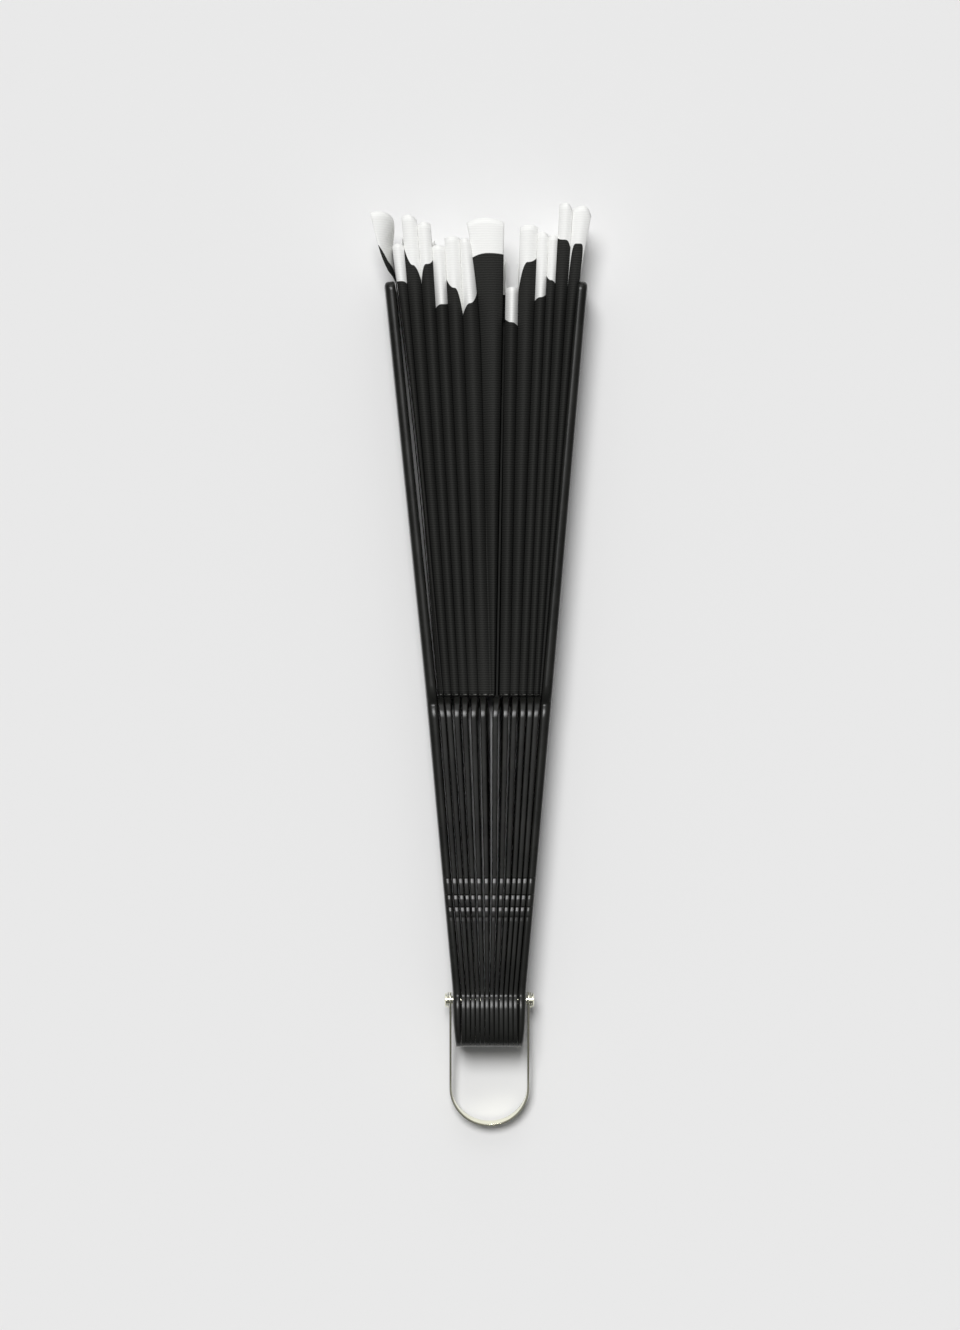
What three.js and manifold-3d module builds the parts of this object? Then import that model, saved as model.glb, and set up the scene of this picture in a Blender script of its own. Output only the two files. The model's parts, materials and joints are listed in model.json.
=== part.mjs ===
// A closed folding hand fan lying on its edge: two guards, twelve ribs, a pleated cloth leaf,
// one rivet through the heads and a thin sprung bail. Millimetres.
// While it is made, x runs along the rivet, y from the rivet to the tips and z across the sticks.

import * as THREE from 'three';
import { mergeVertices } from 'three/addons/utils/BufferGeometryUtils.js';
import Module from 'manifold-3d';

const wasm = await Module();
wasm.setup();

// The whole fan
const closedLength = 230;
const openAngle = 130;
const ribCount = 12;
const gapCount = ribCount + 1;
const gapAngle = openAngle / gapCount;

// Clearances
const stackGap = 0.32;
const pinClearance = 0.3;
const clothGap = 0.3;
const washerGap = 0.25;

// Heads, shared by guards and ribs
const headRadius = 10.5;
const headDrop = 2.7;
const headTop = 2.2;
const headCorner = 0.8;
const neckHalfWidth = 9.3;
const neckLength = 3.5;
const neckEnd = 10;

// The gorge between the heads and the shoulders
const gorgeLowHalfWidth = 9.6;
const gorgeHighHalfWidth = 10;
const shoulderReach = 90;
const shoulderRound = 5;
const notchReaches = [24.6, 27.6, 31.5, 36.3];
const notchHalfLengths = [0.7, 0.9, 1.1, 1.3];
const notchDepth = 0.7;

// Ribs
const ribThickness = 1.1;
const slipThickness = 0.6;
const slipHalfWidth = 3;
const slipStep = 0.4;
const slipSetback = 11.8;
const slipTipEase = 1.5;

// Guards
const guardThickness = 2.5;
const guardHalfWidth = 11;
const guardCrown = 0.9;
const guardTipRound = 2.5;
const guardTipEase = 1.2;
const guardHeadEase = 1.8;
const guardLeast = 0.5;
const grooveDepth = 0.8;
const grooveLead = 2;
const grooveFloor = 0.8;
const grooveLength = 3;
const bladeEase = 1;
const bladeEaseDepth = 0.3;

// Where the sticks lie across the fan, at one distance from the rivet.
// They splay sideways from just above the heads.
const bendReach = 3;
const spreadReach = 211;
const ribSpread = [-24.5, -21.2, -16.1, -12.5, -7.5, -3.75, 4.5, 8.9, 13.7, 17.1, 20.3, 23.7];
const leftGuardSpread = -28.2;
const rightGuardSpread = 26.4;

// The cloth leaf. Its folds end unevenly, and each one's top is given by its rise above the guards' tips.
const clothThickness = 0.25;
const leafSetback = 2;
const leafRise = 0.6;
const foldRises = [11.2, 19.8, 17.7, 10.8, 13.5, 12.9, 18.9, -1.8, 16.8, 14.7, 13.8, 23.4, 22.5];
const foldArcSteps = 6;
const flareRise = 1.2;
const lipLength = 2;
const cupFold = 7;
const cupLeft = 2.5;
const cupRight = 1.5;
const cupRise = 14.2;
const lastFlare = 3.6;
const flapRise = 21.2;
const flapLean = 6.5;

// Rivet and washers
const rivetRadius = 1.3;
const rivetHeadRadius = 2.1;
const rivetHeadThickness = 0.65;
const washerRadius = 2.4;
const washerThickness = 0.35;
const turnedSides = 24;

// Bail
const bailThickness = 0.6;
const bailWidth = 4;
const bailLength = 38.9;
const bailSideGap = 0.32;
const bailFloorGap = 0.3;
const bailArcSteps = 16;

// Worked out from the sizes above
const tipReach = closedLength - headRadius - headDrop;
const slipReach = tipReach - slipSetback;
const bladeStart = shoulderReach + grooveLength;
const leafStart = shoulderReach + leafSetback;
const stickPitch = ribThickness + stackGap;
const guardInner = (ribCount * stickPitch + stackGap) / 2;
const guardOuter = guardInner + guardThickness;
const flareStart = tipReach + flareRise;
const cupStart = tipReach + cupRise;
const flapReach = tipReach + flapRise;
const pleatSlope = Math.tan(THREE.MathUtils.degToRad(gapAngle / 4));
const holeRadius = rivetRadius + pinClearance;
const bailInner = guardOuter + bailSideGap;
const bailOuter = bailInner + bailThickness;
const washerStart = bailOuter + washerGap;
const rivetHeadStart = washerStart + washerThickness + washerGap;
const bailDrop = guardHalfWidth - bailFloorGap - bailWidth / 2;
const bailDroop = Math.asin(bailDrop / bailLength);

const blackPlastic = new THREE.MeshStandardMaterial({ color: 0x141414, roughness: 0.38, metalness: 0 });
const blackCloth = new THREE.MeshStandardMaterial({ color: 0x0f0f10, roughness: 0.85, metalness: 0 });
const paleMetal = new THREE.MeshStandardMaterial({ color: 0xc9c1a2, roughness: 0.3, metalness: 1 });

const fan = new THREE.Group();

function addMesh(name, geometry, material) {
  const mesh = new THREE.Mesh(geometry, material);
  mesh.name = name;
  fan.add(mesh);
  return mesh;
}

// Joins closed loops of points, one at each station, into a closed body with flat ends.
function loft(loops, endTriangles) {
  const count = loops[0].length;
  const points = loops.flat();
  const faces = [];
  for (let row = 0; row < loops.length - 1; row += 1) {
    for (let i = 0; i < count; i += 1) {
      const a = row * count + i;
      const b = row * count + ((i + 1) % count);
      faces.push([a, b, b + count], [a, b + count, a + count]);
    }
  }
  const last = (loops.length - 1) * count;
  for (const [a, b, c] of endTriangles) {
    faces.push([a, c, b], [last + a, last + b, last + c]);
  }
  return closedGeometry(points, faces);
}

function closedGeometry(points, faces) {
  let volume = 0;
  for (const [a, b, c] of faces) {
    volume += points[a].dot(new THREE.Vector3().crossVectors(points[b], points[c])) / 6;
  }
  const outward = volume > 0 ? faces : faces.map(([a, b, c]) => [a, c, b]);
  const geometry = new THREE.BufferGeometry();
  geometry.setAttribute('position', new THREE.Float32BufferAttribute(points.flatMap((p) => p.toArray()), 3));
  geometry.setIndex(outward.flat());
  geometry.computeVertexNormals();
  return geometry;
}

// Triangles over a convex loop of so many points
function convexEnd(count) {
  const triangles = [];
  for (let i = 1; i < count - 1; i += 1) triangles.push([0, i, i + 1]);
  return triangles;
}

// Triangles over the end of a folded sheet: its outer points run one way and its inner ones back
function sheetEnd(count) {
  const triangles = [];
  for (let i = 0; i < count / 2 - 1; i += 1) {
    triangles.push([i, i + 1, count - 2 - i], [i, count - 2 - i, count - 1 - i]);
  }
  return triangles;
}

function toSolid(geometry) {
  const bare = geometry.clone();
  bare.deleteAttribute('normal');
  bare.deleteAttribute('uv');
  const merged = mergeVertices(bare, 1e-5);
  const mesh = new wasm.Mesh({
    numProp: 3,
    vertProperties: new Float32Array(merged.attributes.position.array),
    triVerts: new Uint32Array(merged.index.array),
  });
  return new wasm.Manifold(mesh);
}

function fromSolid(solid) {
  const mesh = solid.getMesh();
  const geometry = new THREE.BufferGeometry();
  geometry.setAttribute('position', new THREE.BufferAttribute(mesh.vertProperties, 3));
  geometry.setIndex(new THREE.BufferAttribute(mesh.triVerts, 1));
  geometry.computeVertexNormals();
  return geometry;
}

// A hole through everything along the rivet's axis
function rivetHole() {
  const hole = new THREE.CylinderGeometry(holeRadius, holeRadius, 4 * bailOuter, turnedSides);
  return toSolid(hole.rotateZ(Math.PI / 2));
}

// How far a stick has moved sideways at a distance y, if it starts at one place and passes another
function sidewaysAt(start, spread, y) {
  const slope = (spread - start) / (spreadReach - bendReach);
  return start + slope * Math.max(0, y - bendReach);
}

const ribStart = (rib) => (rib - (ribCount + 1) / 2) * stickPitch;
const ribCentre = (rib, y) => sidewaysAt(ribStart(rib), ribSpread[rib - 1], y);
const leftInner = (y) => sidewaysAt(-guardInner, leftGuardSpread, y);
const rightInner = (y) => sidewaysAt(guardInner, rightGuardSpread, y);

// Half-widths of the head and the neck, then of the notched gorge, as [distance, half-width]
function headOutline() {
  const rows = [];
  const steps = 7;
  for (let i = 0; i < steps; i += 1) {
    const turn = (Math.PI / 2) * ((i + 0.5) / (steps + 0.5));
    rows.push([-headDrop - headRadius * Math.cos(turn), headRadius * Math.sin(turn)]);
  }
  rows[0][0] = -headDrop - headRadius;
  rows.push([-headDrop, headRadius], [headTop - headCorner, headRadius]);
  rows.push([headTop - headCorner * 0.25, headRadius - headCorner * 0.375]);
  rows.push([headTop, neckHalfWidth + headCorner * 0.5], [headTop + headCorner * 0.625, neckHalfWidth]);
  rows.push([headTop + neckLength, neckHalfWidth], [neckEnd, gorgeLowHalfWidth]);
  return rows;
}

function gorgeHalfWidth(y) {
  const share = (y - neckEnd) / (shoulderReach - neckEnd);
  return THREE.MathUtils.lerp(gorgeLowHalfWidth, gorgeHighHalfWidth, share);
}

function gorgeOutline() {
  const rows = [];
  notchReaches.forEach((y, i) => {
    const half = notchHalfLengths[i];
    rows.push([y - half, gorgeHalfWidth(y)]);
    rows.push([y - half / 3, gorgeHalfWidth(y) - notchDepth]);
    rows.push([y + half / 3, gorgeHalfWidth(y) - notchDepth]);
    rows.push([y + half, gorgeHalfWidth(y)]);
  });
  return rows;
}

// The rib's shoulders round over into the narrow slip that carries the leaf
function ribOutline() {
  const rows = [...headOutline(), ...gorgeOutline()];
  const steps = 4;
  for (let i = 0; i <= steps; i += 1) {
    const turn = (Math.PI / 2) * (i / steps);
    const y = shoulderReach - shoulderRound + shoulderRound * Math.sin(turn);
    rows.push([y, gorgeHighHalfWidth - shoulderRound * (1 - Math.cos(turn))]);
  }
  rows.push([shoulderReach + slipStep, slipHalfWidth]);
  rows.push([slipReach - slipTipEase, slipHalfWidth], [slipReach, slipHalfWidth - slipTipEase]);
  return rows;
}

function ribThicknessAt(y) {
  return y > shoulderReach ? slipThickness : ribThickness;
}

function makeRib(rib) {
  const loops = ribOutline().map(([y, w]) => {
    const x = ribCentre(rib, y);
    const half = ribThicknessAt(y) / 2;
    const corners = [[x - half, -w], [x + half, -w], [x + half, w], [x - half, w]];
    return corners.map(([px, pz]) => new THREE.Vector3(px, y, pz));
  });
  return fromSolid(toSolid(loft(loops, convexEnd(4))).subtract(rivetHole()));
}

// The guard's blade is a little wider than its gorge, with a groove across it where the leaf begins
function guardOutline() {
  const rows = [...headOutline(), ...gorgeOutline()];
  rows.push([shoulderReach - grooveLead, gorgeHighHalfWidth]);
  rows.push([shoulderReach - grooveFloor, gorgeHighHalfWidth - grooveDepth]);
  rows.push([shoulderReach + grooveFloor / 2, gorgeHighHalfWidth - grooveDepth]);
  rows.push([bladeStart - bladeEase, guardHalfWidth - bladeEaseDepth]);
  rows.push([bladeStart + bladeEase, guardHalfWidth]);
  rows.push([tipReach - guardTipRound, guardHalfWidth]);
  rows.push([tipReach - guardTipRound * 0.5, guardHalfWidth - guardTipRound * 0.13]);
  rows.push([tipReach - guardTipRound * 0.13, guardHalfWidth - guardTipRound * 0.5]);
  rows.push([tipReach, guardHalfWidth - guardTipRound]);
  return rows;
}

// Its outer face is crowned, thins round the head and rounds over at the tip
function guardThicknessAt(y, acrossShare) {
  const headShare = Math.min(0, y) / (headRadius + headDrop);
  const tipShare = THREE.MathUtils.clamp((y - tipReach + guardTipRound) / guardTipRound, 0, 1);
  const eased = guardThickness - guardHeadEase * headShare ** 2 - guardTipEase * tipShare ** 3;
  return Math.max(guardLeast, eased - guardCrown * acrossShare ** 2);
}

function makeGuard(side, innerAt) {
  const shares = [-1, -0.75, -0.4, 0, 0.4, 0.75, 1];
  const loops = guardOutline().map(([y, w]) => {
    const inner = innerAt(y);
    const outer = shares.map((share) => {
      const across = (share * w) / guardHalfWidth;
      return new THREE.Vector3(inner + side * guardThicknessAt(y, across), y, share * w);
    });
    return [new THREE.Vector3(inner, y, w), new THREE.Vector3(inner, y, -w), ...outer];
  });
  return fromSolid(toSolid(loft(loops, convexEnd(2 + shares.length))).subtract(rivetHole()));
}

const foldTop = (fold) => tipReach + foldRises[fold - 1];

// The space for one fold of the leaf: from beside one stick to beside the next
function foldSides(fold, y) {
  const besideSlip = slipThickness / 2 + clothGap;
  const flapRoom = clothGap + clothThickness + clothGap;
  const left = fold === 1 ? leftInner(y) + flapRoom : ribCentre(fold - 1, y) + besideSlip;
  const right = fold === gapCount ? rightInner(y) - clothGap : ribCentre(fold, y) - besideSlip;
  return [left, right];
}

function foldFlare(fold, y) {
  const top = foldTop(fold);
  if (fold === cupFold) {
    const share = Math.max(0, (y - cupStart) / (top - cupStart));
    return [-cupLeft * share, cupRight * share];
  }
  if (fold === gapCount) return [0, lastFlare * Math.max(0, (y - flareStart) / (top - flareStart))];
  return [0, 0];
}

// One side of a fold, as points up one leg, round the ridge and down the other
function foldPath(left, right, low, high) {
  const radius = (right - left) / 2;
  const path = [[left, low]];
  for (let i = 0; i <= foldArcSteps; i += 1) {
    const turn = Math.PI * (1 - i / foldArcSteps);
    path.push([left + radius + radius * Math.cos(turn), high - radius + radius * Math.sin(turn)]);
  }
  path.push([right, low]);
  return path;
}

function makeFold(fold) {
  const top = foldTop(fold);
  const lipStart = fold === cupFold ? cupStart : Math.min(flareStart, top - lipLength);
  const loops = [leafStart, lipStart, top].map((y) => {
    const [left, right] = foldSides(fold, y);
    const [moveLeft, moveRight] = foldFlare(fold, y);
    const half = pleatSlope * y;
    const outer = foldPath(left + moveLeft, right + moveRight, leafRise - half, leafRise + half);
    const inner = foldPath(
      left + moveLeft + clothThickness,
      right + moveRight - clothThickness,
      leafRise - half,
      leafRise + half - clothThickness,
    );
    return [...outer, ...inner.reverse()].map(([x, z]) => new THREE.Vector3(x, y, z));
  });
  return loft(loops, sheetEnd(loops[0].length));
}

// The leaf's end margin lies on the left guard and curls out over its tip
function makeEndFlap() {
  const depthShares = [0, 0.4, 0.75, 1];
  const curlReaches = [0, 0.4, 0.7, 1].map((share) => THREE.MathUtils.lerp(flareStart, flapReach, share));
  const loops = [leafStart, ...curlReaches].map((y) => {
    const lift = Math.max(0, (y - flareStart) / (flapReach - flareStart));
    const half = pleatSlope * y;
    const outer = depthShares.map((share) => {
      const lean = flapLean * Math.sqrt(lift) * share ** 2;
      return [leftInner(y) + clothGap - lean, leafRise - half + 2 * half * share];
    });
    const inner = outer.map(([x, z]) => [x + clothThickness, z]).reverse();
    return [...outer, ...inner].map(([x, z]) => new THREE.Vector3(x, y, z));
  });
  return loft(loops, sheetEnd(loops[0].length));
}

function turnAboutX(profile) {
  const points = profile.map(([radius, along]) => new THREE.Vector2(radius, along));
  return new THREE.LatheGeometry(points, turnedSides).rotateZ(-Math.PI / 2);
}

// One rivet through every head, with a domed head at each end
function makeRivet() {
  const end = rivetHeadStart + rivetHeadThickness;
  const half = [
    [rivetRadius, rivetHeadStart],
    [rivetHeadRadius, rivetHeadStart],
    [rivetHeadRadius, rivetHeadStart + rivetHeadThickness * 0.4],
    [rivetHeadRadius * 0.75, rivetHeadStart + rivetHeadThickness * 0.85],
    [0, end],
  ];
  const other = half.map(([radius, along]) => [radius, -along]).reverse();
  return fromSolid(toSolid(turnAboutX([...other, ...half])));
}

function makeWasher(side) {
  const near = side * washerStart;
  const far = side * (washerStart + washerThickness);
  const [low, high] = near < far ? [near, far] : [far, near];
  const corners = [[holeRadius, low], [washerRadius, low], [washerRadius, high], [holeRadius, high]];
  const ring = [...corners, corners[0]];
  return fromSolid(toSolid(turnAboutX(ring)));
}

// A thin strip bent to a U, pierced at both ends for the rivet, drooping until its far end meets the surface
function makeBail() {
  const bend = bailOuter;
  const legLength = bailLength - bend;
  const outline = new THREE.Shape();
  outline.moveTo(-bailOuter, 0);
  outline.lineTo(-bailOuter, -legLength);
  outline.absarc(0, -legLength, bailOuter, Math.PI, 2 * Math.PI, false);
  outline.lineTo(bailOuter, 0);
  outline.lineTo(bailInner, 0);
  outline.lineTo(bailInner, -legLength);
  outline.absarc(0, -legLength, bailInner, 2 * Math.PI, Math.PI, true);
  outline.lineTo(-bailInner, 0);
  outline.closePath();
  const strip = new THREE.ExtrudeGeometry(outline, {
    depth: bailWidth,
    bevelEnabled: false,
    curveSegments: bailArcSteps,
  });
  let solid = toSolid(strip.translate(0, 0, -bailWidth / 2));
  for (const side of [-1, 1]) {
    const eye = new THREE.CylinderGeometry(washerRadius, washerRadius, bailThickness, turnedSides);
    eye.rotateZ(Math.PI / 2).translate((side * (bailInner + bailOuter)) / 2, 0, 0);
    solid = solid.add(toSolid(eye));
  }
  return fromSolid(solid.subtract(rivetHole())).rotateX(bailDroop);
}

addMesh('left_guard', makeGuard(-1, leftInner), blackPlastic);
for (let rib = 1; rib <= ribCount; rib += 1) {
  addMesh(`rib_${String(rib).padStart(2, '0')}`, makeRib(rib), blackPlastic);
}
addMesh('right_guard', makeGuard(1, rightInner), blackPlastic);
for (let fold = 1; fold <= gapCount; fold += 1) {
  addMesh(`leaf_fold_${String(fold).padStart(2, '0')}`, makeFold(fold), blackCloth);
}
addMesh('leaf_end_flap', makeEndFlap(), blackCloth);
addMesh('rivet', makeRivet(), paleMetal);
addMesh('washer_left', makeWasher(-1), paleMetal);
addMesh('washer_right', makeWasher(1), paleMetal);
addMesh('bail', makeBail(), paleMetal);

// The origin is under the middle of the whole fan, on the surface it lies on
const extent = new THREE.Box3().setFromObject(fan);
const middle = extent.getCenter(new THREE.Vector3());
fan.position.set(-middle.x, -middle.y, -extent.min.z);
fan.name = 'folding_fan';

export default fan;
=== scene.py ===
import json
import math

import bmesh
import bpy
import numpy as np
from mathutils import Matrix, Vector, noise


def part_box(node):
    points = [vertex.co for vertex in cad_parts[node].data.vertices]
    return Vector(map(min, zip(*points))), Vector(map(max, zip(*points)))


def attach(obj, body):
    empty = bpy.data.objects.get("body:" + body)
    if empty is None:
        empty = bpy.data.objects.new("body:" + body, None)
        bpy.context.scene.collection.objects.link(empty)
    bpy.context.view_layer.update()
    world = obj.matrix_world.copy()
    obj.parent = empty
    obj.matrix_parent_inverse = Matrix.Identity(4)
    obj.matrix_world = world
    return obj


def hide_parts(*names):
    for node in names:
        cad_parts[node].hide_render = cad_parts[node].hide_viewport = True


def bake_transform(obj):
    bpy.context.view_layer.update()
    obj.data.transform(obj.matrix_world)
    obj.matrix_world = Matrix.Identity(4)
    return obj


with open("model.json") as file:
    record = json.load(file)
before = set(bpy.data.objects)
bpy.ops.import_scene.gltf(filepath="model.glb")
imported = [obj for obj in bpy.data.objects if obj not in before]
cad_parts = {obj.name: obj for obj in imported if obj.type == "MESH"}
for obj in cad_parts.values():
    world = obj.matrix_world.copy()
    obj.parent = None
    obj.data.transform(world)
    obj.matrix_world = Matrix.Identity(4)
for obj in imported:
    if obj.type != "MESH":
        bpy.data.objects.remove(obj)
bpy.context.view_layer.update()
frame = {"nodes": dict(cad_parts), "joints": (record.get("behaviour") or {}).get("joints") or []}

# A closed folding fan on its edge, seen from straight above.
# Every piece is shaped in millimetres about the rivet: x along the rivet, y towards the tips, z up.
# It goes into the frame, in metres, as the last step of its own function.

mm = 0.001
sameRow = 1e-3  # points this near each other in y or z count as one row
sameCorner = 1e-4  # and points this near each other as one point
rivetLow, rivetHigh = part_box("rivet")
rivetCentre = (rivetLow + rivetHigh) / 2
ribCount = sum(name.startswith("rib_") for name in frame["nodes"])
foldCount = ribCount + 1
openAngle = math.radians(sum(j["range_deg"][1] for j in frame["joints"] if j["name"].startswith("open_")))

bpy.context.scene.view_settings.view_transform = "Standard"


def fanBox(node):
    low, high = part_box(node)
    return (low - rivetCentre) / mm, (high - rivetCentre) / mm


# Small helpers for work on one piece

def leaveEditMode():
    if bpy.context.object and bpy.context.object.mode != "OBJECT":
        bpy.ops.object.mode_set(mode="OBJECT")


def clearSelection():
    leaveEditMode()
    bpy.ops.object.select_all(action="DESELECT")


def selectOnly(piece):
    clearSelection()
    piece.select_set(True)
    bpy.context.view_layer.objects.active = piece


def selectVerts(piece, isWanted):
    mesh = bmesh.from_edit_mesh(piece.data)
    for vert in mesh.verts:
        vert.select_set(isWanted(vert.co))
    mesh.select_mode = {"VERT"}
    mesh.select_flush_mode()
    bmesh.update_edit_mesh(piece.data)


def selectEdges(piece, isWanted):
    mesh = bmesh.from_edit_mesh(piece.data)
    bpy.ops.mesh.select_mode(type="EDGE")
    for edge in mesh.edges:
        edge.select_set(isWanted(edge))
    mesh.select_flush_mode()
    bmesh.update_edit_mesh(piece.data)


def selectFaces(piece, isWanted):
    mesh = bmesh.from_edit_mesh(piece.data)
    bpy.ops.mesh.select_mode(type="FACE")
    for face in mesh.faces:
        face.select_set(isWanted(face))
    mesh.select_flush_mode()
    bmesh.update_edit_mesh(piece.data)


def applyModifiers(piece):
    selectOnly(piece)
    for modifier in list(piece.modifiers):
        bpy.ops.object.modifier_apply(modifier=modifier.name)


def drillRivetHole(piece):
    clearSelection()
    bpy.ops.mesh.primitive_cylinder_add(vertices=stick["holeSides"], radius=stick["holeRadius"],
                                        depth=stick["drillLength"], rotation=(0, math.pi / 2, 0))
    drill = bpy.context.object
    cut = piece.modifiers.new("rivetHole", "BOOLEAN")
    cut.operation = "DIFFERENCE"
    cut.solver = "EXACT"
    cut.object = drill
    applyModifiers(piece)
    bpy.data.objects.remove(drill)


sharpAngle = 50  # edges sharper than this many degrees are rounded


def roundRims(piece, width, segments):
    rim = piece.modifiers.new("rim", "BEVEL")
    rim.width = width
    rim.segments = segments
    rim.limit_method = "ANGLE"
    rim.angle_limit = math.radians(sharpAngle)
    applyModifiers(piece)


def smoothEdges(piece, angle):
    selectOnly(piece)
    bpy.ops.object.shade_smooth_by_angle(angle=math.radians(angle))


def putInFrame(piece):
    piece.scale = (mm, mm, mm)
    piece.location = rivetCentre
    selectOnly(piece)
    bpy.ops.object.transform_apply(location=True, rotation=True, scale=True)


def copyPiece(piece, name):
    twin = piece.copy()
    twin.data = piece.data.copy()
    twin.name = name
    bpy.context.scene.collection.objects.link(twin)
    return twin


# Materials

class Wire:
    # a socket that takes part in expressions
    def __init__(self, tree, socket=None):
        self.tree = tree
        self.socket = socket

    def node(self, kind, settings=None, sockets=None, output=0):
        made = self.tree.nodes.new(kind)
        for name, value in (settings or {}).items():
            setattr(made, name, value)
        for name, value in (sockets or {}).items():
            if isinstance(value, Wire):
                self.tree.links.new(value.socket, made.inputs[name])
            else:
                made.inputs[name].default_value = value
        return Wire(self.tree, made.outputs[output])

    def maths(self, operation, first, second=0.0):
        return self.node("ShaderNodeMath", {"operation": operation}, {0: first, 1: second})

    def noise(self, place, scale, detail):
        return self.node("ShaderNodeTexNoise", None, {"Vector": place, "Scale": scale, "Detail": detail})

    def stretched(self, place, scale):
        return self.node("ShaderNodeMapping", None, {"Vector": place, "Scale": scale})

    def bump(self, height, depth):
        return self.node("ShaderNodeBump", None, {"Height": height, "Distance": depth * mm, "Strength": 1.0})

    def __add__(self, other):
        return self.maths("ADD", self, other)

    def __radd__(self, other):
        return self.maths("ADD", other, self)

    def __sub__(self, other):
        return self.maths("SUBTRACT", self, other)

    def __rsub__(self, other):
        return self.maths("SUBTRACT", other, self)

    def __mul__(self, other):
        return self.maths("MULTIPLY", self, other)

    def __rmul__(self, other):
        return self.maths("MULTIPLY", other, self)

    def sine(self):
        return self.maths("SINE", self)

    def clamped(self):
        return self.node("ShaderNodeClamp", None, {"Value": self})

    def mixed(self, low, high):
        # a colour between two, by this share
        return self.node("ShaderNodeMix", {"data_type": "RGBA"}, {0: self, 6: low, 7: high}, output=2)


def newMaterial(name):
    material = bpy.data.materials.new(name)
    material.use_nodes = True
    tree = material.node_tree
    tree.nodes.clear()
    return material, Wire(tree)


def finishMaterial(wire, varying, fixed):
    # varying values come in as links, and what is the same all over is set on the socket
    principled = wire.tree.nodes.new("ShaderNodeBsdfPrincipled")
    for name, value in fixed.items():
        principled.inputs[name].default_value = value
    for name, value in varying.items():
        wire.tree.links.new(value.socket, principled.inputs[name])
    output = wire.tree.nodes.new("ShaderNodeOutputMaterial")
    wire.tree.links.new(principled.outputs[0], output.inputs[0])


plasticLook = {
    "colour": (0.0098, 0.01, 0.009, 1),
    "paleColour": (0.0158, 0.0161, 0.0144, 1),
    "roughness": 0.28,
    "roughnessSpread": 0.06,
    "slipRoughness": 0.85,
    "specular": 0.29,
    "grainSize": 0.6,
    "grainDepth": 0.007,
    "grainStretch": 0.04,
    "grainRoughness": 0.08,
    "scuffSize": 9.0,
    "scuffStart": 0.35,
    "scuffContrast": 2.0,
}


def makePlastic(name, look):
    material, wire = newMaterial(name)
    place = wire.node("ShaderNodeTexCoord", output=3)  # Object
    grain = wire.noise(wire.stretched(place, (1, look["grainStretch"], 1)), 1 / (look["grainSize"] * mm), 3.0)
    scuffs = wire.noise(place, 1 / (look["scuffSize"] * mm), 4.0)
    roughness = look["roughness"] + (scuffs - 0.5) * (2 * look["roughnessSpread"])
    roughness = roughness + (grain - 0.5) * look["grainRoughness"]
    worn = ((scuffs - look["scuffStart"]) * look["scuffContrast"]).clamped()
    finishMaterial(wire, {"Base Color": worn.mixed(look["colour"], look["paleColour"]),
                          "Roughness": roughness.clamped(),
                          "Normal": wire.bump(grain, look["grainDepth"])},
                   {"Specular IOR Level": look["specular"]})
    return material


# heightShares are for the ribs, the threads and the fuzz, and the colours' shares for the ribs and the fuzz.
# The ribs' share of the colours is painted sheen on the rib crests and painted shade in the troughs; the
# fuzz's share is the cloth's own uneven tone.
clothLook = {
    "black": (0.009, 0.0092, 0.0086, 1),
    "blackSheenAndFuzz": (0.042, 0.0422, 0.04, 1),
    "blackShares": (0.45, 0.55),
    "white": (0.95, 0.952, 0.935, 1),
    "whiteShade": (0.88, 0.883, 0.865, 1),
    "whiteShares": (0.6, 0.4),
    "edgeBlur": 0.12,
    "frayed": (0.6, 0.6, 0.57, 1),
    "frayEnd": 92.8,
    "frayBlur": 0.3,
    "tuftScale": 700.0,
    "tuftContrast": 8.0,
    "ribPitch": 0.72,
    "ribDepth": 0.036,
    "ribWander": 5.0,
    "threadPitch": 0.3,
    "threadWander": 3.0,
    "wanderScale": 260.0,
    "fuzzScale": 2600.0,
    "heightShares": (0.75, 0.2, 0.35),
    "roughness": 0.78,
    "roughnessSpread": 0.14,
    "specular": 0.08,
}


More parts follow.
